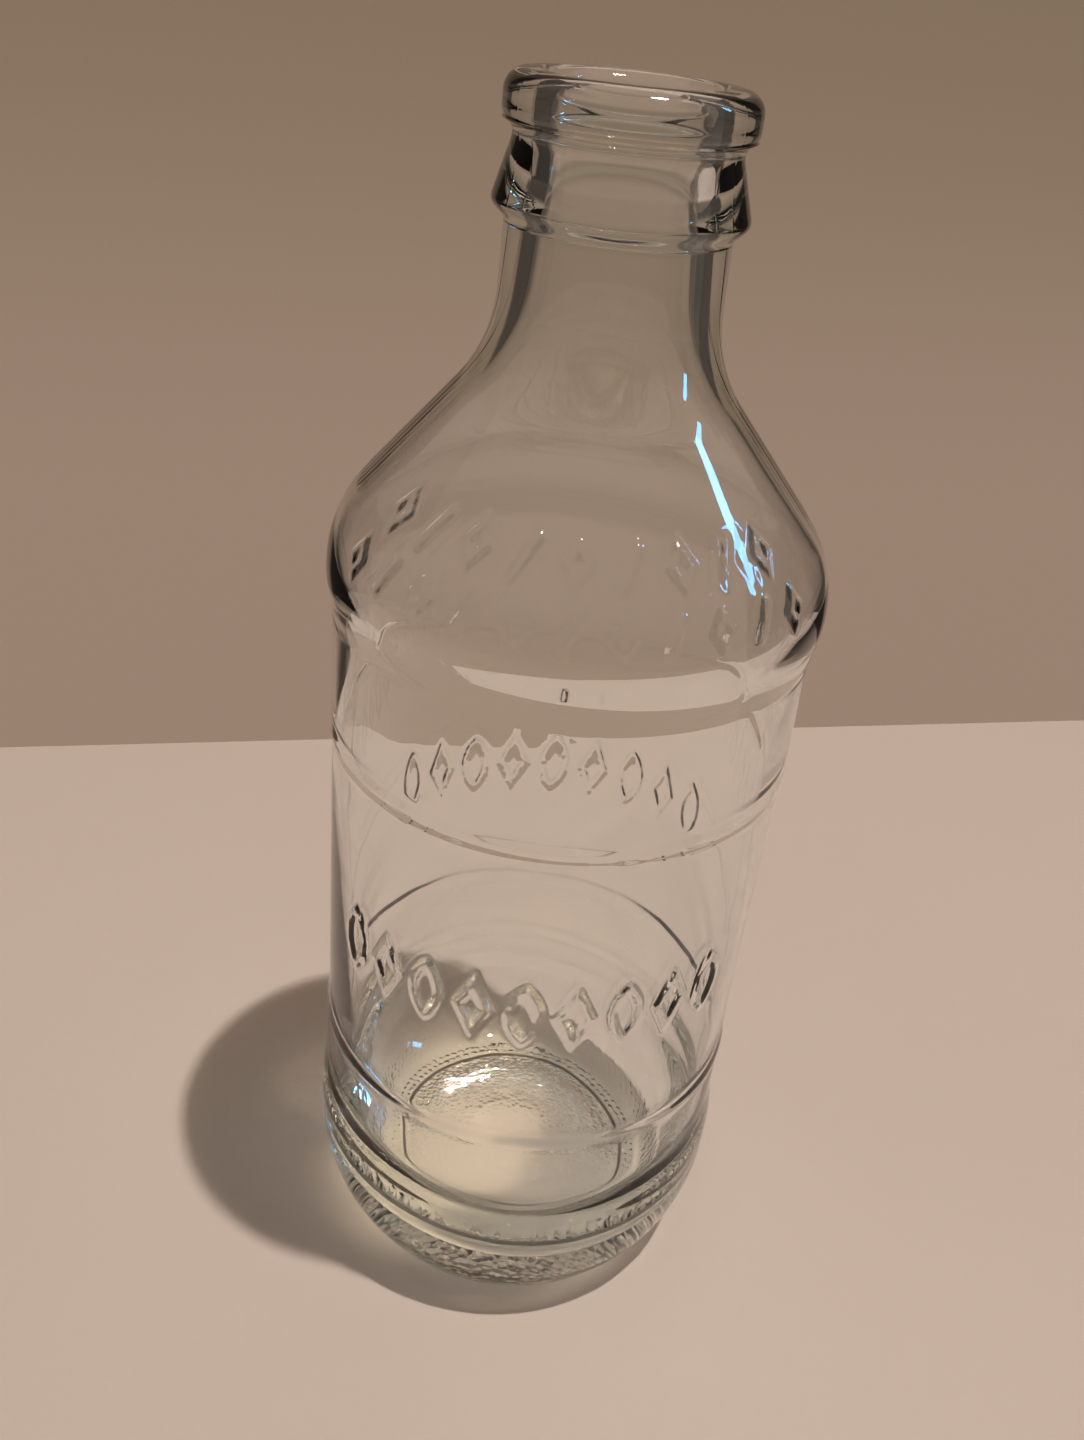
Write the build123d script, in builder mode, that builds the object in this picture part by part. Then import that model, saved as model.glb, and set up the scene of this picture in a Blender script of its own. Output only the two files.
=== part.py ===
from build123d import *
from math import cos, radians, sin, sqrt, tan
import os

# Empty one-way soda bottle of clear glass with a 26 mm crown finish.
#
# The glass is one revolved wall, cut at its mould lines and at the breaks of its outline into
# rings that meet face to face: base, heel, foot band, label panel, waist band, shoulder, neck,
# collar and crown bead. The raised ornament stands on the shoulder and on the label panel.
# Millimetres, +Z up, origin at the middle of the resting face.

# ---- driving dimensions: crown finish and neck ---------------------------------------------
HEIGHT = 161.0
BEAD_R = 13.3  # locking bead that a crown cap is crimped under
BEAD_FOOT_Z = 156.4  # underside of the bead
LIP_ROUND = 2.2  # from the bead over to the sealing lip
GROOVE_R = 11.65  # waist between bead and collar
GROOVE_Z = 156.0
COLLAR_R = 13.9  # lower edge of the conical collar
COLLAR_Z = 148.5
COLLAR_FOOT_Z = 146.9  # where the collar's underside meets the neck
COLLAR_ROUND = 0.9  # at the collar's lower edge, and where its underside meets the neck
GROOVE_ROUND = 1.5
BEAD_ROUND = 1.1  # under the bead
NECK_R = 12.25
NECK_FLARE = 0.3  # how much wider the neck is where it meets the shoulder
NECK_ROUND = 18.0  # hollow radius between neck and shoulder
THROAT_R = 8.25
THROAT_LENGTH = 11.0  # straight part of the bore, from the lip down
BORE_FLARE = 1.2  # how much wider the bore is at the bottom of the neck
MOUTH_ROUND = 1.6

# ---- driving dimensions: shoulder and body -------------------------------------------------
SHOULDER_R = 30.4
SHOULDER_Z = 106.8  # height of the widest ring
SHOULDER_ROUND = 15.0
SHOULDER_SLOPE = radians(40)  # the cone between shoulder and neck, from the axis
SHOULDER_WALL = 1.8
BELLY_R = 29.4  # inside, where the lines of the shoulder and of its tuck would meet
BELLY_ROUND = 9.0
TUCK_END_Z = 102.8  # inside, where the tuck's line meets the wall of the body
TUCK_ROUND = 10.0
WAIST_R = 29.65
PANEL_R = 29.5
PANEL_WALL = 1.5
RIB_R = 29.8
RIB_LAND = 0.6  # flat top of a rib
RIB_HALF = 1.5  # from a rib's middle to the foot of its flank
UPPER_RIB_Z = 85.4
LOWER_RIB_Z = 37.4
BAND_R = 29.65  # above the foot band's swelling
BAND_Z = 27.0
FOOT_R = 30.4  # widest ring of the foot band, level with the shoulder
FOOT_TOP_Z = 22.0
FOOT_Z = 17.0  # where the heel begins

# ---- driving dimensions: heel and base -----------------------------------------------------
BASE_TOP_Z = 6.0  # where the base is parted from the heel
HEEL_ROUND = 26.0
HEEL_CORNER = 3.0  # small radius down to the resting face
REST_INNER_R = 19.5  # inner edge of the flat resting ring
PUSH_UP = 3.4  # depth of the dome pressed up into the base
DOME_R = 6.0  # flat middle of the dome
DOME_ROUND = 12.0
FLOOR_Z = 5.0  # where the lines of the inner wall and the floor would meet
FLOOR_THICK = 4.0  # glass over the dome
FLOOR_ROUND = 17.0  # inside radius between wall and floor

# ---- driving dimensions: raised ornament ---------------------------------------------------
PROUD = 0.3
STROKE = 1.0
SMALL_MOTIF = (3.2, 4.4)  # width and height of a shoulder motif
MOTIF_DEPTH = 9.0  # from the widest radius in to where the shoulder's motifs are cut from
UPPER_ROW = (118.7, 12.5, 9)  # height of the row, degrees between motifs, and motifs in front
LOWER_ROW = (112.9, 11.0, 11)
TALL_MOTIF = (4.6, 10.0)  # width and height of a panel motif
PANEL_ROW_Z = 60.5
PANEL_PITCH = 12.5  # degrees
PANEL_MOTIFS = 9  # in each of two groups, front and back
FRONT, BACK = -90, 90  # directions of their middles about the axis, in degrees
OVERRUN = 1.0  # how far the motifs' blanks run past the skin of the relief

# ---- points of the outline that follow from these ------------------------------------------
# The heel is a large arc that ends level with FOOT_Z and runs into the small corner arc.
heel_centre_r = FOOT_R - HEEL_ROUND
corner_r = heel_centre_r + sqrt((HEEL_ROUND - HEEL_CORNER) ** 2 - (FOOT_Z - HEEL_CORNER) ** 2)
heel_slope = (corner_r - heel_centre_r) / (HEEL_ROUND - HEEL_CORNER)
heel_end = (
    heel_centre_r + HEEL_ROUND * heel_slope,
    FOOT_Z - HEEL_ROUND * sqrt(1 - heel_slope**2),
)

# The shoulder is an arc about this centre line, and its cone starts where the arc has turned
# through the slope.
shoulder_centre_r = SHOULDER_R - SHOULDER_ROUND
cone_r = shoulder_centre_r + SHOULDER_ROUND * cos(SHOULDER_SLOPE)
cone_z = SHOULDER_Z + SHOULDER_ROUND * sin(SHOULDER_SLOPE)
tuck_z = SHOULDER_Z - sqrt(SHOULDER_ROUND**2 - (WAIST_R - shoulder_centre_r) ** 2)


def cone_height(radius, inset=0.0):
    """Height at which the shoulder's cone, moved inwards by inset, has the radius given."""
    return cone_z + (cone_r - inset - radius) / tan(SHOULDER_SLOPE)


neck_foot = (NECK_R + NECK_FLARE, cone_height(NECK_R + NECK_FLARE))
wall_across = SHOULDER_WALL / cos(SHOULDER_SLOPE)
inner_r = PANEL_R - PANEL_WALL
bore_foot = (THROAT_R + BORE_FLARE, cone_height(THROAT_R + BORE_FLARE, wall_across))
belly = (BELLY_R, cone_height(BELLY_R, wall_across))


def rib(height, below, above):
    """Outline of a fine rib between the radii below and above it, from its foot up."""
    half_land = RIB_LAND / 2
    return [
        (below, height - RIB_HALF),
        (RIB_R, height - half_land),
        (RIB_R, height + half_land),
        (above, height + RIB_HALF),
    ]


# ---- the glass wall ------------------------------------------------------------------------
with BuildPart() as glass:
    with BuildSketch(Plane.XZ) as wall:
        with BuildLine() as outline:
            # dome under the base, and the flat resting ring
            FilletPolyline((0, PUSH_UP), (DOME_R, PUSH_UP), (REST_INNER_R, 0), radius=DOME_ROUND)
            Line((REST_INNER_R, 0), (corner_r, 0))
            # heel
            RadiusArc((corner_r, 0), heel_end, -HEEL_CORNER)
            RadiusArc(heel_end, (FOOT_R, FOOT_Z), -HEEL_ROUND)
            # foot band, lower rib, label panel, upper rib and waist band
            Polyline(
                (FOOT_R, FOOT_Z),
                (FOOT_R, FOOT_TOP_Z),
                (BAND_R, BAND_Z),
                *rib(LOWER_RIB_Z, BAND_R, PANEL_R),
                *rib(UPPER_RIB_Z, PANEL_R, WAIST_R),
                (WAIST_R, tuck_z),
            )
            # shoulder, neck, collar, groove, bead, lip and throat
            RadiusArc((WAIST_R, tuck_z), (cone_r, cone_z), -SHOULDER_ROUND)
            FilletPolyline(
                (cone_r, cone_z),
                neck_foot,
                (NECK_R, COLLAR_FOOT_Z),
                (COLLAR_R, COLLAR_Z),
                (GROOVE_R, GROOVE_Z),
                (BEAD_R, BEAD_FOOT_Z),
                (BEAD_R, HEIGHT),
                (THROAT_R, HEIGHT),
                (THROAT_R, HEIGHT - THROAT_LENGTH),
                radius=(
                    NECK_ROUND,
                    COLLAR_ROUND,
                    COLLAR_ROUND,
                    GROOVE_ROUND,
                    BEAD_ROUND,
                    LIP_ROUND,
                    MOUTH_ROUND,
                ),
            )
            # bore of the neck, inside of the shoulder and body, and the floor
            FilletPolyline(
                (THROAT_R, HEIGHT - THROAT_LENGTH),
                bore_foot,
                belly,
                (inner_r, TUCK_END_Z),
                (inner_r, FLOOR_Z),
                (DOME_R, PUSH_UP + FLOOR_THICK),
                (0, PUSH_UP + FLOOR_THICK),
                radius=(
                    NECK_ROUND + SHOULDER_WALL,
                    BELLY_ROUND,
                    TUCK_ROUND,
                    FLOOR_ROUND,
                    DOME_ROUND,
                ),
            )
            Line((0, PUSH_UP + FLOOR_THICK), (0, PUSH_UP))
        make_face()
    revolve(axis=Axis.Z)


def write(piece, name):
    """Labels a finished piece and writes its STEP file."""
    piece.part.label = name
    export_step(piece.part, f"parts/{name}.step")


# ---- the rings that the wall is cut into, from the foot up ---------------------------------
CUTS = {
    "base": (None, BASE_TOP_Z),
    "heel": (BASE_TOP_Z, FOOT_Z),
    "foot_band": (FOOT_Z, LOWER_RIB_Z + RIB_HALF),
    "label_panel": (LOWER_RIB_Z + RIB_HALF, UPPER_RIB_Z - RIB_HALF),
    "waist_band": (UPPER_RIB_Z - RIB_HALF, tuck_z),
    "shoulder": (tuck_z, neck_foot[1]),
    "neck": (neck_foot[1], COLLAR_FOOT_Z),
    "collar": (COLLAR_FOOT_Z, GROOVE_Z),
    "crown_bead": (GROOVE_Z, None),
}
os.makedirs("parts", exist_ok=True)
for ring_name, (low, high) in CUTS.items():
    with BuildPart() as ring:
        add(glass.part)
        if low is not None:
            split(bisect_by=Plane.XY.offset(low), keep=Keep.TOP)
        if high is not None:
            split(bisect_by=Plane.XY.offset(high), keep=Keep.BOTTOM)
    write(ring, ring_name)


# ---- raised ornament: the flat shapes of its motifs ------------------------------------------
with BuildSketch() as slanting_bar:
    lean, half = SMALL_MOTIF[0] / 4, STROKE / 2
    top, foot = SMALL_MOTIF[1] / 2, -SMALL_MOTIF[1] / 2
    Polygon(
        (-lean - half, foot),
        (lean - half, top),
        (lean + half, top),
        (-lean + half, foot),
        align=None,
    )

with BuildSketch() as small_lozenge:
    for inset, mode in ((0, Mode.ADD), (STROKE, Mode.SUBTRACT)):
        share = 1 - 2 * inset / SMALL_MOTIF[0]
        width, height = (share * side / 2 for side in SMALL_MOTIF)
        Polygon((width, 0), (0, height), (-width, 0), (0, -height), align=None, mode=mode)

with BuildSketch() as tall_lozenge:
    for inset, mode in ((0, Mode.ADD), (STROKE, Mode.SUBTRACT)):
        share = 1 - 2 * inset / TALL_MOTIF[0]
        width, height = (share * side / 2 for side in TALL_MOTIF)
        Polygon((width, 0), (0, height), (-width, 0), (0, -height), align=None, mode=mode)

# A pointed oval is what two circles have in common; its hole is the same with smaller circles.
oval_r = (TALL_MOTIF[0] ** 2 + TALL_MOTIF[1] ** 2) / (4 * TALL_MOTIF[0])
oval_shift = oval_r - TALL_MOTIF[0] / 2
with BuildSketch() as oval_hole:
    with Locations((oval_shift, 0)):
        Circle(oval_r - STROKE)
    with Locations((-oval_shift, 0)):
        Circle(oval_r - STROKE, mode=Mode.INTERSECT)
with BuildSketch() as pointed_oval:
    with Locations((oval_shift, 0)):
        Circle(oval_r)
    with Locations((-oval_shift, 0)):
        Circle(oval_r, mode=Mode.INTERSECT)
    add(oval_hole.sketch, mode=Mode.SUBTRACT)


def outward(radius, height, angle):
    """Sketch plane that looks straight out from the axis, at an angle in degrees about it."""
    ray = Vector(1, 0, 0).rotate(Axis.Z, angle)
    return Plane(ray * radius + Vector(0, 0, height), x_dir=ray.rotate(Axis.Z, 90), z_dir=ray)


def row_turns(middle, pitch, motifs, first):
    """Directions in degrees of every second motif of a row, from the first or the second on."""
    return [middle + pitch * (step - (motifs - 1) / 2) for step in range(first, motifs, 2)]


# ---- raised ornament on the shoulder: lozenges and slanting bars, two rows in front ----------
cone_grow = Vector(cos(SHOULDER_SLOPE), sin(SHOULDER_SLOPE)) * PROUD
cone_fall = Vector(-sin(SHOULDER_SLOPE), cos(SHOULDER_SLOPE)) * 2 * SMALL_MOTIF[1]
cone_start = Vector(cone_r, cone_z)

with BuildPart() as shoulder_skin:
    with BuildSketch(Plane.XZ):
        with BuildLine():
            Line((SHOULDER_R, SHOULDER_Z), (SHOULDER_R + PROUD, SHOULDER_Z))
            RadiusArc((SHOULDER_R + PROUD, SHOULDER_Z), cone_start + cone_grow, -SHOULDER_ROUND - PROUD)
            Line(cone_start + cone_grow, cone_start + cone_grow + cone_fall)
            Line(cone_start + cone_grow + cone_fall, cone_start + cone_fall)
            Line(cone_start + cone_fall, cone_start)
            RadiusArc(cone_start, (SHOULDER_R, SHOULDER_Z), SHOULDER_ROUND)
        make_face()
    revolve(axis=Axis.Z)

with BuildPart() as shoulder_motifs:
    for row_z, pitch, motifs in (UPPER_ROW, LOWER_ROW):
        for first, motif in enumerate((small_lozenge, slanting_bar)):
            turns = row_turns(FRONT, pitch, motifs, first)
            with BuildSketch(*[outward(SHOULDER_R - MOTIF_DEPTH, row_z, turn) for turn in turns]):
                add(motif.sketch)
            extrude(amount=MOTIF_DEPTH + OVERRUN)

with BuildPart() as shoulder_ornament:
    add(shoulder_skin.part)
    add(shoulder_motifs.part, mode=Mode.INTERSECT)
write(shoulder_ornament, "shoulder_ornament")


# ---- raised ornament on the label panel: pointed ovals and tall lozenges, front and back -----
with BuildPart() as panel_skin:
    with BuildSketch(Plane.XY.offset(PANEL_ROW_Z - TALL_MOTIF[1])):
        Circle(PANEL_R + PROUD)
        Circle(PANEL_R, mode=Mode.SUBTRACT)
    extrude(amount=2 * TALL_MOTIF[1])

with BuildPart() as panel_motifs:
    for first, motif in enumerate((pointed_oval, tall_lozenge)):
        turns = row_turns(FRONT, PANEL_PITCH, PANEL_MOTIFS, first)
        turns += row_turns(BACK, PANEL_PITCH, PANEL_MOTIFS, first)
        with BuildSketch(*[outward(PANEL_R - OVERRUN, PANEL_ROW_Z, turn) for turn in turns]):
            add(motif.sketch)
        extrude(amount=2 * OVERRUN)

with BuildPart() as panel_ornament:
    add(panel_skin.part)
    add(panel_motifs.part, mode=Mode.INTERSECT)
write(panel_ornament, "panel_ornament")
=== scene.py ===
import bpy
import numpy as np
from mathutils import Matrix, Vector


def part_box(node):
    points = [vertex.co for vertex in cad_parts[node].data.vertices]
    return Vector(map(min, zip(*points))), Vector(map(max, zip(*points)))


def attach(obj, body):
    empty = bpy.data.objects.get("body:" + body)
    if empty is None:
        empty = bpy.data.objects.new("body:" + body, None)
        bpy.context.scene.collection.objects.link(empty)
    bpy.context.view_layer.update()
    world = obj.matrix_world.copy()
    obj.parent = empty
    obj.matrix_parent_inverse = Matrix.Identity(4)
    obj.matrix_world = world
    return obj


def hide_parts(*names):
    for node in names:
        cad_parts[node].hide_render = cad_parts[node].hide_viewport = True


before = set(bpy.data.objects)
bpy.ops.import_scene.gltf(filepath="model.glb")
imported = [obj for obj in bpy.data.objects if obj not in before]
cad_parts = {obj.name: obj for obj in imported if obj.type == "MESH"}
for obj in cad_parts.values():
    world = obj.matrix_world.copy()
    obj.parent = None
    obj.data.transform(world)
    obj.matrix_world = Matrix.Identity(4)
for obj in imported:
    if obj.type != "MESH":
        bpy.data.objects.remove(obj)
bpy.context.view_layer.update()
scene = bpy.context.scene

# ---- Camera ---------------------------------------------------------------------------------
# A phone held close above the table: it looks down on the shoulder, a little to one side, and is
# turned by a few degrees, so the bottle leans in the view.
MM = 0.001
CAMERA_BACK = 140.8 * MM
CAMERA_UP = 170.4 * MM
LOOK_DOWN = np.radians(31.27)
LOOK_ASIDE = np.radians(-0.92)
TILT = np.radians(6.4)
SENSOR = 36.0
FOCAL_LENGTH = 31.25
NEAREST = 5.0 * MM

forward = Vector(
    (
        np.sin(LOOK_ASIDE) * np.cos(LOOK_DOWN),
        np.cos(LOOK_ASIDE) * np.cos(LOOK_DOWN),
        -np.sin(LOOK_DOWN),
    )
)
level = Vector((np.cos(LOOK_ASIDE), -np.sin(LOOK_ASIDE), 0.0))
above = level.cross(forward)
right_hand = np.cos(TILT) * level + np.sin(TILT) * above
top_side = np.cos(TILT) * above - np.sin(TILT) * level
camera_data = bpy.data.cameras.new("phone")
camera_data.sensor_fit = "VERTICAL"
camera_data.sensor_height = SENSOR
camera_data.lens = FOCAL_LENGTH
camera_data.clip_start = NEAREST
camera = bpy.data.objects.new("phone", camera_data)
turned = Matrix((right_hand, top_side, -forward)).transposed().to_4x4()
camera.matrix_world = Matrix.Translation((0.0, -CAMERA_BACK, CAMERA_UP)) @ turned
scene.collection.objects.link(camera)
scene.camera = camera

# ---- Bottle wall ----------------------------------------------------------------------------
# The whole bottle is one moulded wall of clear soda-lime glass: a crown finish with a conical
# collar, a neck 3 to 4 mm thick, a thin shoulder and panel, and a heavy heel and base. Light bends
# at both faces of the wall, so it is one closed skin, outer and inner face together.
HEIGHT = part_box("crown_bead")[1][2]
BEAD_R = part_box("crown_bead")[1][0]
COLLAR_FOOT_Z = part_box("collar")[0][2]
GROOVE_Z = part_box("crown_bead")[0][2]
SHOULDER_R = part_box("shoulder")[1][0]
PANEL_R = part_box("label_panel")[1][0]
FOOT_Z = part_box("heel")[1][2]
BEAD_UNDERSIDE = 0.4 * MM
LIP_ROUND = 2.2 * MM
GROOVE_R = 11.65 * MM
COLLAR_R = 13.9 * MM
COLLAR_UNDERSIDE = 1.6 * MM
COLLAR_ROUND = 0.9 * MM
GROOVE_ROUND = 1.5 * MM
BEAD_ROUND = 1.1 * MM
NECK_R = 12.25 * MM
NECK_FLARE = 0.3 * MM
NECK_ROUND = 18.0 * MM
THROAT_R = 8.25 * MM
THROAT_LENGTH = 11.0 * MM
BORE_FLARE = 1.2 * MM
MOUTH_ROUND = 1.6 * MM
SHOULDER_Z = 106.8 * MM
SHOULDER_ROUND = 15.0 * MM
SHOULDER_SLOPE = np.radians(40)
SHOULDER_WALL = 1.8 * MM
BELLY_R = 29.4 * MM
BELLY_ROUND = 9.0 * MM
TUCK_END_Z = 102.8 * MM
TUCK_ROUND = 10.0 * MM
WAIST_R = 29.65 * MM
PANEL_WALL = 1.5 * MM
RIB_R = 29.8 * MM
RIB_LAND = 0.6 * MM
RIB_HALF = 1.5 * MM
RIB_SOFT = 1.0 * MM
UPPER_RIB_Z = 85.4 * MM
LOWER_RIB_Z = 37.4 * MM
BAND_R = 29.65 * MM
BAND_Z = 27.0 * MM
FOOT_TOP_Z = 22.0 * MM
FOOT_SOFT = 12.0 * MM
HEEL_ROUND = 26.0 * MM
HEEL_CORNER = 3.0 * MM
REST_INNER_R = 19.5 * MM
PUSH_UP = 3.4 * MM
DOME_R = 6.0 * MM
DOME_ROUND = 12.0 * MM
FLOOR_Z = 5.0 * MM
FLOOR_THICK = 4.0 * MM
FLOOR_ROUND = 17.0 * MM


def spread(points, step):
    """Points along straight runs, evenly spaced on each run and no further apart than step."""
    rows = []
    for a, b in zip(points[:-1], points[1:]):
        a, b = np.array(a), np.array(b)
        count = max(1, int(np.ceil(np.linalg.norm(b - a) / step)))
        rows.append(a + (b - a) * np.linspace(0, 1, count, endpoint=False)[:, None])
    return np.vstack(rows + [points[-1]])


def arc(centre, radius, start, end, step):
    """Points of an arc about centre, from angle start to angle end: centre + radius (cos, sin)."""
    count = max(2, int(np.ceil(abs(end - start) * radius / step)) + 1)
    angle = np.linspace(start, end, count)
    return centre + radius * np.column_stack([np.cos(angle), np.sin(angle)])


def rounded(points, radii, step):
    """The line through points with each inner corner rounded by a tangent arc of its own radius.

    At a corner that turns by t, the arc starts radius x tan(t / 2) before it.
    """
    points = [np.array(p, float) for p in points]
    rows, here = [], points[0]
    for before, corner, after, radius in zip(points[:-2], points[1:-1], points[2:], radii):
        a = (before - corner) / np.linalg.norm(before - corner)
        b = (after - corner) / np.linalg.norm(after - corner)
        half = np.arccos(np.clip(a @ b, -1, 1)) / 2
        back = radius / np.tan(half)
        centre = corner + (a + b) / np.linalg.norm(a + b) * radius / np.sin(half)
        first, last = corner + a * back, corner + b * back
        start = np.arctan2(*(first - centre)[::-1])
        turn = (np.arctan2(*(last - centre)[::-1]) - start + np.pi) % (2 * np.pi) - np.pi
        rows.append(spread([here, first], step)[:-1])
        rows.append(arc(centre, radius, start, start + turn, step)[:-1])
        here = last
    return np.vstack(rows + [spread([here, points[-1]], step)])


def rib(height, below, above):
    """A fine rib between the radii below and above it, from its foot up."""
    return [
        (below, height - RIB_HALF),
        (RIB_R, height - RIB_LAND / 2),
        (RIB_R, height + RIB_LAND / 2),
        (above, height + RIB_HALF),
    ]


heel_centre = (SHOULDER_R - HEEL_ROUND, FOOT_Z)
corner_r = heel_centre[0] + np.sqrt((HEEL_ROUND - HEEL_CORNER) ** 2 - (FOOT_Z - HEEL_CORNER) ** 2)
heel_turn = -np.arccos((corner_r - heel_centre[0]) / (HEEL_ROUND - HEEL_CORNER))
shoulder_centre = (SHOULDER_R - SHOULDER_ROUND, SHOULDER_Z)
tuck_turn = -np.arccos((WAIST_R - shoulder_centre[0]) / SHOULDER_ROUND)
tuck_z = SHOULDER_Z + SHOULDER_ROUND * np.sin(tuck_turn)
cone_r = shoulder_centre[0] + SHOULDER_ROUND * np.cos(SHOULDER_SLOPE)
cone_z = SHOULDER_Z + SHOULDER_ROUND * np.sin(SHOULDER_SLOPE)


def cone_height(radius, inset=0.0):
    """Height at which the shoulder's cone, moved inwards by inset, has the radius given."""
    return cone_z + (cone_r - inset - radius) / np.tan(SHOULDER_SLOPE)


def cone_radius(height):
    """Radius of the shoulder's cone at a height."""
    return cone_r - (height - cone_z) * np.tan(SHOULDER_SLOPE)


# ---- Raised ornament ------------------------------------------------------------------------
# Two rows of small lozenges and slanting bars run round the shoulder, and tall pointed ovals and
# lozenges stand on the label panel, front and back. They are cut into the mould, so they stand
# out of the glass as rounded lines.
PROUD = 0.3 * MM
STROKE = 1.0 * MM
SOFT_EDGE = 0.9 * MM
SMALL_WIDE, SMALL_HIGH = 3.2 * MM, 4.4 * MM
UPPER_ROW = (118.7 * MM, np.radians(12.5), 9)
LOWER_ROW = (112.9 * MM, np.radians(11.0), 11)
TALL_WIDE, TALL_HIGH = 4.6 * MM, 10.0 * MM
PANEL_ROW_Z = 60.5 * MM
PANEL_PITCH = np.radians(12.5)
PANEL_MOTIFS = 9


def raised(distance):
    """Height of a rounded line at a distance from its middle: full inside, falling smoothly."""
    share = np.clip((STROKE / 2 + SOFT_EDGE / 2 - distance) / SOFT_EDGE, 0, 1)
    return PROUD * share * share * (3 - 2 * share)


def lozenge_distance(x, y, wide, high):
    """Distance to the line |x| / a + |y| / b = 1, which is an open lozenge."""
    a = (wide - STROKE) / 2
    b = a * high / wide
    return np.abs(np.abs(x) / a + np.abs(y) / b - 1) / np.hypot(1 / a, 1 / b)


def oval_distance(x, y, wide, high):
    """Distance to an open pointed oval, which is where the further of two circles is met."""
    radius = (wide**2 + high**2) / (4 * wide)
    shift = radius - wide / 2
    further = np.maximum(np.hypot(x - shift, y), np.hypot(x + shift, y))
    return np.abs(further - radius + STROKE / 2)


def bar_distance(x, y, wide, high):
    """Distance to a slanting straight line as high as the motif."""
    end = np.array([wide / 4, (high - STROKE) / 2])
    along = np.clip((x * end[0] + y * end[1]) / (end @ end), -1, 1)
    return np.hypot(x - along * end[0], y - along * end[1])


def place_in_row(from_middle, pitch, motifs):
    """Number of the nearest motif of a row, and the angle from that motif's own middle."""
    middle = (motifs - 1) / 2
    place = np.clip(np.round(from_middle / pitch + middle), 0, motifs - 1)
    return place, from_middle - (place - middle) * pitch


def shoulder_relief(angle, radius, height):
    """Relief of the two shoulder rows: lozenges at even places and bars at odd ones."""
    relief = 0.0
    from_front = (angle + np.pi / 2 + np.pi) % (2 * np.pi) - np.pi
    for row_z, pitch, motifs in (UPPER_ROW, LOWER_ROW):
        place, aside = place_in_row(from_front, pitch, motifs)
        x, y = radius * np.sin(aside), height - row_z
        lozenge = raised(lozenge_distance(x, y, SMALL_WIDE, SMALL_HIGH))
        bar = raised(bar_distance(x, y, SMALL_WIDE, SMALL_HIGH))
        relief = np.maximum(relief, np.where(place % 2 == 0, lozenge, bar))
    return relief


def panel_relief(angle, radius, height):
    """Relief of the panel: ovals and lozenges by turns, in a group in front and one behind."""
    from_middle = (angle + np.pi / 2 + np.pi / 2) % np.pi - np.pi / 2
    place, aside = place_in_row(from_middle, PANEL_PITCH, PANEL_MOTIFS)
    x, y = radius * np.sin(aside), height - PANEL_ROW_Z
    oval = raised(oval_distance(x, y, TALL_WIDE, TALL_HIGH))
    lozenge = raised(lozenge_distance(x, y, TALL_WIDE, TALL_HIGH))
    return np.where(place % 2 == 0, oval, lozenge)


# ---- Resting ring ---------------------------------------------------------------------------
# The ring that the bottle stands on is stippled, so that the hot glass doesn't check on the
# conveyor: rings of small round dimples are pressed into it and up the foot of the heel.
DIMPLES = 96
DIMPLE_DEEP = 0.22 * MM
DIMPLE_RINGS = 9
STIPPLE_FROM = 20.2 * MM
STIPPLE_TOP = 5.0 * MM
stipple_turn = np.arcsin((STIPPLE_TOP - FOOT_Z) / HEEL_ROUND)
stipple_to = heel_centre[0] + HEEL_ROUND * np.cos(stipple_turn) + STIPPLE_TOP


def stipple_relief(angle, radius, height):
    """Relief of the dimples: a cosine round the bottle times one along the outline, where radius
    plus height measures the way along it, and each ring is turned half a step from the last."""
    along = (radius + height - STIPPLE_FROM) / (stipple_to - STIPPLE_FROM) * DIMPLE_RINGS
    half_step = np.pi * (np.floor(along) % 2)
    round_it = 0.5 + 0.5 * np.cos(DIMPLES * angle + half_step)
    inside = (along > 0) & (along < DIMPLE_RINGS)
    return -DIMPLE_DEEP * np.sin(np.pi * along) ** 2 * round_it * inside


def plain(angle, radius, height):
    """No relief."""
    return np.zeros_like(angle)


# ---- Inner face -----------------------------------------------------------------------------
# The inside is blown, not moulded, so its wall wanders by a tenth or two of a millimetre in long
# soft waves, and that is what makes things seen through the bottle swim.
WAVE = 0.16 * MM
WAVE_END, WAVE_FADE = 0.93, 0.1
# Waves round the bottle, twist on the way up, start, share.
WAVES = ((2, 5.0, 0.6, 1.0), (3, -11.0, 2.1, 0.6), (5, 19.0, 4.0, 0.4))


def wander(angle, radius, height):
    """Three sines of angle and height, with 2, 3 and 5 waves round the bottle and each weaker than
    the last, are added together. They fade out towards the throat and towards the axis."""
    up = height / HEIGHT
    waves = sum(s * np.sin(n * angle + twist * up + start) for n, twist, start, s in WAVES)
    fading = np.clip((WAVE_END - up) / WAVE_FADE, 0, 1) * np.clip(radius / SHOULDER_R, 0, 1)
    return WAVE * waves * fading


# ---- One skin -------------------------------------------------------------------------------
# The outline runs from the middle of the dome under the base, out over the resting ring, up the
# outside, over the lip and down the inside to the middle of the floor. Stretches with relief carry
# three times as many points round the bottle as the plain ones.
AROUND = 144
CLOSER = 3
FINE = 0.38 * MM
MEDIUM = 0.9 * MM
FINISH_STEP = 0.5 * MM
BROAD = 2.0 * MM

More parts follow.
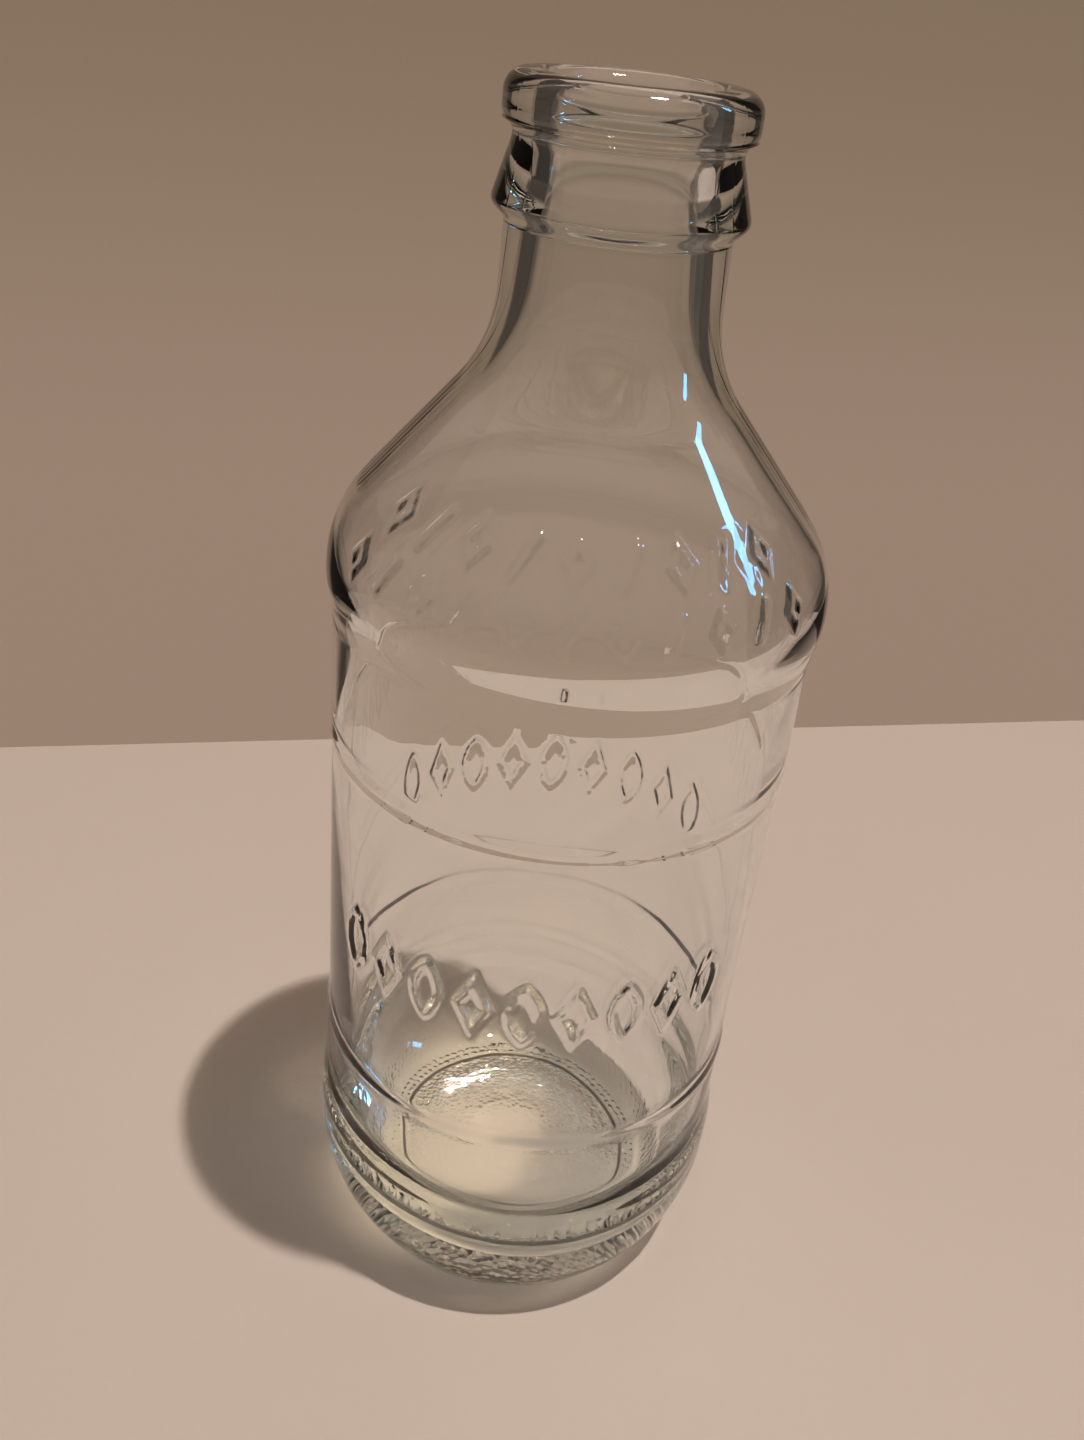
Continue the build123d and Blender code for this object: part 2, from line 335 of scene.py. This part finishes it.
wall_across = SHOULDER_WALL / np.cos(SHOULDER_SLOPE)
inner_r = PANEL_R - PANEL_WALL
neck_foot = (NECK_R + NECK_FLARE, cone_height(NECK_R + NECK_FLARE))
collar_foot = (NECK_R, COLLAR_FOOT_Z)
belly = (BELLY_R, cone_height(BELLY_R, wall_across))
bore_foot = (THROAT_R + BORE_FLARE, cone_height(THROAT_R + BORE_FLARE, wall_across))
throat_foot = (THROAT_R, HEIGHT - THROAT_LENGTH)
dome_edge = (DOME_R, PUSH_UP)
floor_edge = (DOME_R, PUSH_UP + FLOOR_THICK)
lower_rib = rib(LOWER_RIB_Z, BAND_R, PANEL_R)
upper_rib = rib(UPPER_RIB_Z, PANEL_R, WAIST_R)
soft = [RIB_SOFT] * len(upper_rib)

# Where the relief on the panel and on the shoulder begins and ends.
panel_low = (PANEL_R, PANEL_ROW_Z - TALL_HIGH / 2 - STROKE)
panel_high = (PANEL_R, PANEL_ROW_Z + TALL_HIGH / 2 + STROKE)
rows_low = LOWER_ROW[0] - SMALL_HIGH / 2 - STROKE
rows_turn = np.arcsin((rows_low - SHOULDER_Z) / SHOULDER_ROUND)
rows_high = UPPER_ROW[0] + SMALL_HIGH / 2 + STROKE
shoulder_high = (cone_radius(rows_high), rows_high)

base_outline = rounded([(0, PUSH_UP), dome_edge, (REST_INNER_R, 0)], [DOME_ROUND], BROAD)
ring_outline = np.vstack(
    [
        spread([(REST_INNER_R, 0), (corner_r, 0)], FINE)[:-1],
        arc((corner_r, HEEL_CORNER), HEEL_CORNER, -np.pi / 2, heel_turn, FINE)[:-1],
        arc(heel_centre, HEEL_ROUND, heel_turn, stipple_turn, FINE),
    ]
)
heel_outline = arc(heel_centre, HEEL_ROUND, stipple_turn, 0, MEDIUM)
foot_outline = rounded(
    [(SHOULDER_R, FOOT_Z), (SHOULDER_R, FOOT_TOP_Z), (BAND_R, BAND_Z), *lower_rib, panel_low],
    [FOOT_SOFT, FOOT_SOFT, *soft],
    MEDIUM,
)
panel_outline = spread([panel_low, panel_high], FINE)
waist_outline = rounded([panel_high, *upper_rib, (WAIST_R, tuck_z)], soft, MEDIUM)
tuck_outline = arc(shoulder_centre, SHOULDER_ROUND, tuck_turn, rows_turn, MEDIUM)
shoulder_outline = np.vstack(
    [
        arc(shoulder_centre, SHOULDER_ROUND, rows_turn, SHOULDER_SLOPE, FINE)[:-1],
        spread([(cone_r, cone_z), shoulder_high], FINE),
    ]
)
neck_outline = rounded(
    [
        shoulder_high,
        neck_foot,
        collar_foot,
        (COLLAR_R, COLLAR_FOOT_Z + COLLAR_UNDERSIDE),
        (GROOVE_R, GROOVE_Z),
        (BEAD_R, GROOVE_Z + BEAD_UNDERSIDE),
        (BEAD_R, HEIGHT),
        (THROAT_R, HEIGHT),
        throat_foot,
    ],
    [NECK_ROUND, COLLAR_ROUND, COLLAR_ROUND, GROOVE_ROUND, BEAD_ROUND, LIP_ROUND, MOUTH_ROUND],
    FINISH_STEP,
)
inner_outline = rounded(
    [
        throat_foot,
        bore_foot,
        belly,
        (inner_r, TUCK_END_Z),
        (inner_r, FLOOR_Z),
        floor_edge,
        (0, PUSH_UP + FLOOR_THICK),
    ],
    [NECK_ROUND + SHOULDER_WALL, BELLY_ROUND, TUCK_ROUND, FLOOR_ROUND, DOME_ROUND],
    BROAD,
)
stretches = [
    (base_outline, 1, plain),
    (ring_outline, CLOSER, stipple_relief),
    (heel_outline, 1, plain),
    (foot_outline, 1, plain),
    (panel_outline, CLOSER, panel_relief),
    (waist_outline, 1, plain),
    (tuck_outline, 1, plain),
    (shoulder_outline, CLOSER, shoulder_relief),
    (neck_outline, 1, plain),
    (inner_outline, 1, wander),
]


def between(start, times):
    """Columns of the points that lie between one shared point of a finer ring and the next."""
    return [start + step for step in range(times - 1, 0, -1)]


def skin(name, stretches):
    """A closed skin turned about Z: point (angle, row) = row's radius and height, moved out along
    the outline's normal by the relief there. Rings of different counts are joined in fans, and
    the mesh keeps how far the ornament stands out as "raised"."""
    rings, lifts, counts = [], [], []
    for outline, times, relief in stretches:
        flow = np.gradient(outline, axis=0)
        out = np.column_stack([flow[:, 1], -flow[:, 0]])
        out /= np.linalg.norm(out, axis=1)[:, None]
        angle = np.arange(AROUND * times) * 2 * np.pi / (AROUND * times)
        for (radius, height), (out_r, out_z) in zip(outline[1:], out[1:]):
            if radius == 0:
                continue
            lift = relief(angle, radius, height)
            reach = radius + lift * out_r
            ring = [reach * np.cos(angle), reach * np.sin(angle), height + lift * out_z]
            rings.append(np.column_stack(ring))
            lifts.append(lift / PROUD * (relief in (panel_relief, shoulder_relief)))
            counts.append(len(angle))
    starts = np.concatenate([[0], np.cumsum(counts)])
    poles = [stretches[0][0][0, 1], stretches[-1][0][-1, 1]]
    points = np.vstack(rings + [[(0, 0, pole)] for pole in poles])
    faces = []
    for low, high, start, after in zip(counts[:-1], counts[1:], starts[:-2], starts[1:-1]):
        fewer = min(low, high)
        i, i_next = np.arange(fewer), (np.arange(fewer) + 1) % fewer
        a, a_next = start + i * (low // fewer), start + i_next * (low // fewer)
        b, b_next = after + i * (high // fewer), after + i_next * (high // fewer)
        edge_a = between(a, low // fewer)[::-1]
        edge_b = between(b, high // fewer)
        faces += np.column_stack([a, *edge_a, a_next, b_next, *edge_b, b]).tolist()
    first_pole, last_pole = len(points) - 2, len(points) - 1
    i, last_ring = np.arange(AROUND), starts[-2]
    i_next = (i + 1) % AROUND
    faces += np.column_stack([np.full_like(i, first_pole), i_next, i]).tolist()
    i, i_next = last_ring + i, last_ring + i_next
    faces += np.column_stack([i, i_next, np.full_like(i, last_pole)]).tolist()
    mesh = bpy.data.meshes.new(name)
    mesh.from_pydata(points, [], faces)
    mesh.update()
    mesh.shade_smooth()
    kept = mesh.attributes.new("raised", "FLOAT", "POINT")
    kept.data.foreach_set("value", np.concatenate(lifts + [np.zeros(len(poles))]))
    made = bpy.data.objects.new(name, mesh)
    scene.collection.objects.link(made)
    return made


bottle = skin("bottle_glass", stretches)
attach(bottle, "root")
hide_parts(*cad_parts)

# ---- Clear glass ----------------------------------------------------------------------------
# Clear container glass has a faint sea-green tint that only shows where it is thick. Its skin
# ripples a little from the mould, a fine seam runs up each side, and the two widest rings are
# dulled by other bottles. The stipple at the foot has a finer grit between its dimples.
RIPPLE_SCALE = 110.0
RIPPLE_DETAIL = 1.0
RIPPLE_DEEP = 0.03 * MM
SEAM_HALF = 0.4 * MM
SEAM_PROUD = 0.02 * MM
GRIT_SCALE = 1200.0
GRIT_DEEP = 0.12 * MM
GRIT_FADES_FROM = 0.8 * STIPPLE_TOP
UNEVEN_SCALE = 850.0
UNEVEN_DEEP = 0.12 * MM
SCUFF_HALF = 1.6 * MM
SCUFF_SCALE = 900.0
SCUFF_DETAIL = 3.0
SCUFF_FROM = 0.6
SCUFF_ROUGH = 0.1
GLASS_CLEAR = (0.99, 0.997, 0.992, 1)
GLASS_IOR = 1.52
TINT_COLOUR, TINT_DENSITY = (0.70, 0.93, 0.88, 1), 9.0
BLACK = (0.0, 0.0, 0.0, 1)
PASSED_ON = (0.625, 0.605, 0.55, 1)
LOSS_ASLANT = 2.5

glass = bpy.data.materials.new("clear_soda_lime_glass")
glass.use_nodes = True
nodes, links = glass.node_tree.nodes, glass.node_tree.links
shader = nodes["Principled BSDF"]
shader.inputs["Base Color"].default_value = GLASS_CLEAR
shader.inputs["Roughness"].default_value = 0.0
shader.inputs["IOR"].default_value = GLASS_IOR
shader.inputs["Transmission Weight"].default_value = 1.0
tint = nodes.new("ShaderNodeVolumeAbsorption")
tint.inputs["Color"].default_value = TINT_COLOUR
tint.inputs["Density"].default_value = TINT_DENSITY
links.new(tint.outputs["Volume"], nodes["Material Output"].inputs["Volume"])


def math_node(nodes, links, operation, *values):
    """A Math node; a value is either a number or the output that feeds it."""
    node = nodes.new("ShaderNodeMath")
    node.operation = operation
    for socket, value in zip(node.inputs, values):
        if isinstance(value, (int, float)):
            socket.default_value = value
        else:
            links.new(value, socket)
    return node.outputs["Value"]


def fade(nodes, links, value, full, gone):
    """1 where the value is at full or before it, 0 at gone or past it, and smooth between."""
    node = nodes.new("ShaderNodeMapRange")
    node.interpolation_type = "SMOOTHSTEP"
    node.inputs["From Min"].default_value = full
    node.inputs["From Max"].default_value = gone
    node.inputs["To Min"].default_value = 1.0
    node.inputs["To Max"].default_value = 0.0
    links.new(value, node.inputs["Value"])
    return node.outputs["Result"]


place = nodes.new("ShaderNodeTexCoord").outputs["Object"]
axes = nodes.new("ShaderNodeSeparateXYZ")
links.new(place, axes.inputs["Vector"])
ripple = nodes.new("ShaderNodeTexNoise")
ripple.inputs["Scale"].default_value = RIPPLE_SCALE
ripple.inputs["Detail"].default_value = RIPPLE_DETAIL
links.new(place, ripple.inputs["Vector"])
off_seam = math_node(nodes, links, "ABSOLUTE", axes.outputs["Y"])
seam = fade(nodes, links, off_seam, 0.0, SEAM_HALF)
grit = nodes.new("ShaderNodeTexVoronoi")
grit.inputs["Scale"].default_value = GRIT_SCALE
links.new(place, grit.inputs["Vector"])
at_foot = fade(nodes, links, axes.outputs["Z"], float(GRIT_FADES_FROM), float(STIPPLE_TOP))
grit_height = math_node(nodes, links, "MULTIPLY", grit.outputs["Distance"], GRIT_DEEP)
grit_height = math_node(nodes, links, "MULTIPLY", grit_height, at_foot)
height = math_node(nodes, links, "MULTIPLY_ADD", ripple.outputs["Fac"], RIPPLE_DEEP, grit_height)
height = math_node(nodes, links, "MULTIPLY_ADD", seam, SEAM_PROUD, height)

# The faces of the raised ornament are a little uneven, because the mould was cut by hand.
raised_part = nodes.new("ShaderNodeAttribute")
raised_part.attribute_name = "raised"
cuts = nodes.new("ShaderNodeTexNoise")
cuts.inputs["Scale"].default_value = UNEVEN_SCALE
cuts.inputs["Detail"].default_value = 0.0
links.new(place, cuts.inputs["Vector"])
uneven = math_node(nodes, links, "MULTIPLY", cuts.outputs["Fac"], raised_part.outputs["Fac"])
height = math_node(nodes, links, "MULTIPLY_ADD", uneven, UNEVEN_DEEP, height)
bump = nodes.new("ShaderNodeBump")
bump.inputs["Distance"].default_value = 1.0
links.new(height, bump.inputs["Height"])
links.new(bump.outputs["Normal"], shader.inputs["Normal"])

scratches = nodes.new("ShaderNodeTexNoise")
scratches.inputs["Scale"].default_value = SCUFF_SCALE
scratches.inputs["Detail"].default_value = SCUFF_DETAIL
links.new(place, scratches.inputs["Vector"])
scuff = 0.0
for ring_z in (SHOULDER_Z, (FOOT_Z + FOOT_TOP_Z) / 2):
    off_ring = math_node(nodes, links, "SUBTRACT", axes.outputs["Z"], float(ring_z))
    off_ring = math_node(nodes, links, "ABSOLUTE", off_ring)
    scuff = math_node(nodes, links, "ADD", fade(nodes, links, off_ring, 0.0, SCUFF_HALF), scuff)
worn = math_node(nodes, links, "GREATER_THAN", scratches.outputs["Fac"], SCUFF_FROM)
worn = math_node(nodes, links, "MULTIPLY", worn, scuff)
rough = math_node(nodes, links, "MULTIPLY", worn, SCUFF_ROUGH)
links.new(rough, shader.inputs["Roughness"])

# Lamp light goes on through the wall to the table, and less of it the more the wall is aslant.
aslant = nodes.new("ShaderNodeLayerWeight")
aslant.inputs["Blend"].default_value = 0.5
lost = math_node(nodes, links, "POWER", aslant.outputs["Facing"], LOSS_ASLANT)
passed = nodes.new("ShaderNodeMix")
passed.data_type = "RGBA"
passed.inputs["A"].default_value = PASSED_ON
passed.inputs["B"].default_value = BLACK
links.new(lost, passed.inputs["Factor"])
through = nodes.new("ShaderNodeBsdfTransparent")
links.new(passed.outputs["Result"], through.inputs["Color"])
lamp_light = nodes.new("ShaderNodeLightPath").outputs["Is Shadow Ray"]
either = nodes.new("ShaderNodeMixShader")
links.new(lamp_light, either.inputs["Fac"])
links.new(shader.outputs["BSDF"], either.inputs[1])
links.new(through.outputs["BSDF"], either.inputs[2])
links.new(either.outputs["Shader"], nodes["Material Output"].inputs["Surface"])
bottle.data.materials.append(glass)

# ---- Table ----------------------------------------------------------------------------------
# The bottle stands on a pale table top with a matt coat of paint. Its far edge runs behind the
# bottle, a little askew.
TABLE_EDGE_BEHIND = 134 * MM
TABLE_EDGE_TURN = np.radians(15.5)
TABLE_WIDE, TABLE_DEEP = 4.0, 3.0
TABLE_PALE, TABLE_DULL = (0.565, 0.483, 0.43, 1), (0.54, 0.457, 0.405, 1)
TABLE_CLOUDS, TABLE_GRAIN = 9.0, 0.04 * MM
CLOUD_DETAIL = 4.0
GRAIN_FINER = 100
PAINT_ROUGH, PAINT_GLOSS = 0.6, 0.3
edge_way = np.array([np.cos(TABLE_EDGE_TURN), np.sin(TABLE_EDGE_TURN)])
away = np.array([-edge_way[1], edge_way[0]])
edge_middle = np.array([0, TABLE_EDGE_BEHIND])


def rectangle(name, corner, along, across):
    """A flat rectangle: corner + u along + v across, with u and v from 0 to 1."""
    corner, along, across = (np.array(v, float) for v in (corner, along, across))
    corners = [corner, corner + along, corner + along + across, corner + across]
    mesh = bpy.data.meshes.new(name)
    mesh.from_pydata(corners, [], [(0, 1, 2, 3)])
    made = bpy.data.objects.new(name, mesh)
    scene.collection.objects.link(made)
    return made


# The paint of table and wall: its tone wanders in clouds, and it has a fine grain.
matt_paint = bpy.data.node_groups.new("matt_paint", "ShaderNodeTree")
for socket, kind in (
    ("Place", "NodeSocketVector"),
    ("Light", "NodeSocketColor"),
    ("Dark", "NodeSocketColor"),
    ("Scale", "NodeSocketFloat"),
    ("Grain Scale", "NodeSocketFloat"),
    ("Grain Depth", "NodeSocketFloat"),
):
    matt_paint.interface.new_socket(socket, in_out="INPUT", socket_type=kind)
matt_paint.interface.new_socket("Color", in_out="OUTPUT", socket_type="NodeSocketColor")
matt_paint.interface.new_socket("Normal", in_out="OUTPUT", socket_type="NodeSocketVector")
nodes, links = matt_paint.nodes, matt_paint.links
given, result = nodes.new("NodeGroupInput"), nodes.new("NodeGroupOutput")
clouds = nodes.new("ShaderNodeTexNoise")
clouds.inputs["Detail"].default_value = CLOUD_DETAIL
grain = nodes.new("ShaderNodeTexNoise")
tone = nodes.new("ShaderNodeMix")
tone.data_type = "RGBA"
bump = nodes.new("ShaderNodeBump")
links.new(given.outputs["Place"], clouds.inputs["Vector"])
links.new(given.outputs["Place"], grain.inputs["Vector"])
links.new(given.outputs["Scale"], clouds.inputs["Scale"])
links.new(given.outputs["Grain Scale"], grain.inputs["Scale"])
links.new(given.outputs["Dark"], tone.inputs["A"])
links.new(given.outputs["Light"], tone.inputs["B"])
links.new(clouds.outputs["Fac"], tone.inputs["Factor"])
links.new(grain.outputs["Fac"], bump.inputs["Height"])
links.new(given.outputs["Grain Depth"], bump.inputs["Distance"])
links.new(tone.outputs["Result"], result.inputs["Color"])
links.new(bump.outputs["Normal"], result.inputs["Normal"])


def painted(name, light, dark, scale, depth):
    """A material with the matt paint in two near tones and with a grain of the depth given."""
    paint = bpy.data.materials.new(name)
    paint.use_nodes = True
    nodes, links = paint.node_tree.nodes, paint.node_tree.links
    effect = nodes.new("ShaderNodeGroup")
    effect.node_tree = matt_paint
    effect.inputs["Light"].default_value = light
    effect.inputs["Dark"].default_value = dark
    effect.inputs["Scale"].default_value = scale
    effect.inputs["Grain Scale"].default_value = GRAIN_FINER * scale
    effect.inputs["Grain Depth"].default_value = depth
    links.new(nodes.new("ShaderNodeTexCoord").outputs["Object"], effect.inputs["Place"])
    shader = nodes["Principled BSDF"]
    links.new(effect.outputs["Color"], shader.inputs["Base Color"])
    links.new(effect.outputs["Normal"], shader.inputs["Normal"])
    shader.inputs["Roughness"].default_value = PAINT_ROUGH
    shader.inputs["Specular IOR Level"].default_value = PAINT_GLOSS
    return paint


start = edge_middle - edge_way * TABLE_WIDE / 2 - away * TABLE_DEEP
table = rectangle("table", (*start, 0), (*(edge_way * TABLE_WIDE), 0), (*(away * TABLE_DEEP), 0))
table_paint = painted("pale_table_paint", TABLE_PALE, TABLE_DULL, TABLE_CLOUDS, TABLE_GRAIN)
table.data.materials.append(table_paint)

# ---- Backdrop -------------------------------------------------------------------------------
# A plain beige wall stands well beyond the table. Its light is painted into it as emission: a wide
# soft pool of painted light behind the bottle, stronger low down, and dim painted light on the
# rest.
WALL_BEYOND = 0.45
WALL_WIDE, WALL_LOW, WALL_HIGH = 3.0, -0.8, 1.2
PAINTED_POOL_MIDDLE, PAINTED_POOL_FULL, PAINTED_POOL_GONE = 0.2, 0.405, 0.5
PAINTED_GLOW_LOW, PAINTED_GLOW_HIGH = (0.305, 0.212, 0.157, 1), (0.205, 0.143, 0.095, 1)
PAINTED_GLOW_FROM, PAINTED_GLOW_TO = -0.12, 0.22
PAINTED_GLOW_ASIDE = (0.03, 0.025, 0.021, 1)
WALL_PALE, WALL_DULL = (0.13, 0.108, 0.09, 1), (0.12, 0.1, 0.083, 1)
WALL_CLOUDS, WALL_GRAIN = 4.0, 0.2 * MM

start = edge_middle + away * WALL_BEYOND - edge_way * WALL_WIDE / 2
backdrop = rectangle(
    "backdrop",
    (*start, WALL_LOW),
    (*(edge_way * WALL_WIDE), 0),
    (0, 0, WALL_HIGH - WALL_LOW),
)
wall_paint_and_light = painted("beige_wall_with_painted_light", WALL_PALE, WALL_DULL, WALL_CLOUDS, WALL_GRAIN)
nodes, links = wall_paint_and_light.node_tree.nodes, wall_paint_and_light.node_tree.links
turned_back = nodes.new("ShaderNodeMapping")
turned_back.inputs["Rotation"].default_value = (0, 0, -TABLE_EDGE_TURN)
axes = nodes.new("ShaderNodeSeparateXYZ")
links.new(nodes.new("ShaderNodeTexCoord").outputs["Object"], turned_back.inputs["Vector"])
links.new(turned_back.outputs["Vector"], axes.inputs["Vector"])
# Painted light: the wall's emission is a bright soft pool behind the bottle, brighter low down,
# and dim beside it.
aside = math_node(nodes, links, "SUBTRACT", axes.outputs["X"], PAINTED_POOL_MIDDLE)
aside = math_node(nodes, links, "ABSOLUTE", aside)
lowness = fade(nodes, links, axes.outputs["Z"], PAINTED_GLOW_FROM, PAINTED_GLOW_TO)
glow = nodes.new("ShaderNodeMix")
glow.data_type = "RGBA"
glow.inputs["A"].default_value = PAINTED_GLOW_HIGH
glow.inputs["B"].default_value = PAINTED_GLOW_LOW
patch = nodes.new("ShaderNodeMix")
patch.data_type = "RGBA"
patch.inputs["A"].default_value = PAINTED_GLOW_ASIDE
links.new(lowness, glow.inputs["Factor"])
links.new(glow.outputs["Result"], patch.inputs["B"])
links.new(fade(nodes, links, aside, PAINTED_POOL_FULL, PAINTED_POOL_GONE), patch.inputs["Factor"])
links.new(patch.outputs["Result"], nodes["Principled BSDF"].inputs["Emission Color"])
nodes["Principled BSDF"].inputs["Emission Strength"].default_value = 1.0
backdrop.data.materials.append(wall_paint_and_light)

# ---- Ceiling lamp ---------------------------------------------------------------------------
# A small warm bulb, almost overhead and a little to the right, lights a round patch of the table
# and throws the bottle's shadow to the left. A glowing shade is fixed round it.
LAMP_WAY = Vector((0.208, -0.069, 0.976))
LAMP_FAR = 2.5
LIT_R, LIT_SOFT = 0.34, 0.35
BULB_R, BULB_WATTS, BULB_WARM = 0.03, 176, (1.0, 0.905, 0.84)
SHADE_WIDE, SHADE_WATTS, SHADE_WARM = 0.4, 36, (1.0, 0.95, 0.88)
lamp_data = bpy.data.lights.new("ceiling_lamp", "SPOT")
lamp_data.shadow_soft_size = BULB_R
lamp_data.spot_size = 2 * np.arctan(LIT_R / LAMP_FAR)
lamp_data.spot_blend = LIT_SOFT
lamp_data.energy = BULB_WATTS
lamp_data.color = BULB_WARM
lamp = bpy.data.objects.new("ceiling_lamp", lamp_data)
lamp.location = LAMP_WAY * LAMP_FAR
lamp.rotation_mode = "QUATERNION"
lamp.rotation_quaternion = LAMP_WAY.to_track_quat("Z", "Y")
scene.collection.objects.link(lamp)

# The shade draws glints on the lip and on the relief. Its diffuse and transmitted light are off.
shade_data = bpy.data.lights.new("lamp_shade", "AREA")
shade_data.shape = "DISK"
shade_data.size = SHADE_WIDE
shade_data.energy = SHADE_WATTS
shade_data.color = SHADE_WARM
shade = bpy.data.objects.new("lamp_shade", shade_data)
shade.location = LAMP_WAY * LAMP_FAR
shade.rotation_mode = "QUATERNION"
shade.rotation_quaternion = LAMP_WAY.to_track_quat("Z", "Y")
shade.visible_diffuse = False
shade.visible_transmission = False
scene.collection.objects.link(shade)

# ---- Bluish tube ----------------------------------------------------------------------------
# A short cold tube hangs to the right, somewhat higher than the bottle. It draws the long blue
# streak on the shoulder. Its diffuse light is off.
TUBE_WAY = Vector((0.82, 0.13, 0.56)).normalized()
TUBE_FAR = 1.0
TUBE_WIDE, TUBE_HIGH = 0.065, 0.2
TUBE_WATTS, TUBE_COLD = 0.9, (0.14, 0.5, 1.0)
tube_data = bpy.data.lights.new("cold_tube", "AREA")
tube_data.shape = "RECTANGLE"
tube_data.size, tube_data.size_y = TUBE_WIDE, TUBE_HIGH
tube_data.energy = TUBE_WATTS
tube_data.color = TUBE_COLD
tube = bpy.data.objects.new("cold_tube", tube_data)
tube.location = Vector((0, 0, SHOULDER_Z)) + TUBE_WAY * TUBE_FAR
tube.rotation_mode = "QUATERNION"
tube.rotation_quaternion = TUBE_WAY.to_track_quat("Z", "Y")
tube.visible_diffuse = False
scene.collection.objects.link(tube)

# ---- Room -----------------------------------------------------------------------------------
# The ceiling is pale and softly lit, and the walls are dim and darker still towards the floor,
# which draws the dark lines along the neck.
# Place on the way from straight down to straight up, and the colour there.
FLOOR_LEVEL, DIM_FLOOR = 0.45, (0.06, 0.052, 0.045, 1)
WALL_LEVEL, DIM_WALL = 0.7, (0.10, 0.085, 0.072, 1)
CEILING_LEVEL, PALE_CEILING = 0.95, (0.40, 0.335, 0.27, 1)
BOUNCES = 24

room = bpy.data.worlds.new("dim_room")
room.use_nodes = True
nodes, links = room.node_tree.nodes, room.node_tree.links
around = nodes.new("ShaderNodeTexCoord")
split = nodes.new("ShaderNodeSeparateXYZ")
links.new(around.outputs["Generated"], split.inputs["Vector"])
rise = nodes.new("ShaderNodeValToRGB")
rise.color_ramp.elements[0].position = FLOOR_LEVEL
rise.color_ramp.elements[0].color = DIM_FLOOR
rise.color_ramp.elements[1].position = CEILING_LEVEL
rise.color_ramp.elements[1].color = PALE_CEILING
halfway = rise.color_ramp.elements.new(WALL_LEVEL)
halfway.color = DIM_WALL
upward = nodes.new("ShaderNodeMapRange")
upward.inputs["From Min"].default_value = -1.0
links.new(split.outputs["Z"], upward.inputs["Value"])
links.new(upward.outputs["Result"], rise.inputs["Fac"])
links.new(rise.outputs["Color"], nodes["Background"].inputs["Color"])
nodes["Background"].inputs["Strength"].default_value = 1.0
scene.world = room
scene.view_settings.view_transform = "Standard"
scene.cycles.max_bounces = BOUNCES
scene.cycles.transmission_bounces = BOUNCES
scene.cycles.sample_clamp_indirect = 0.0
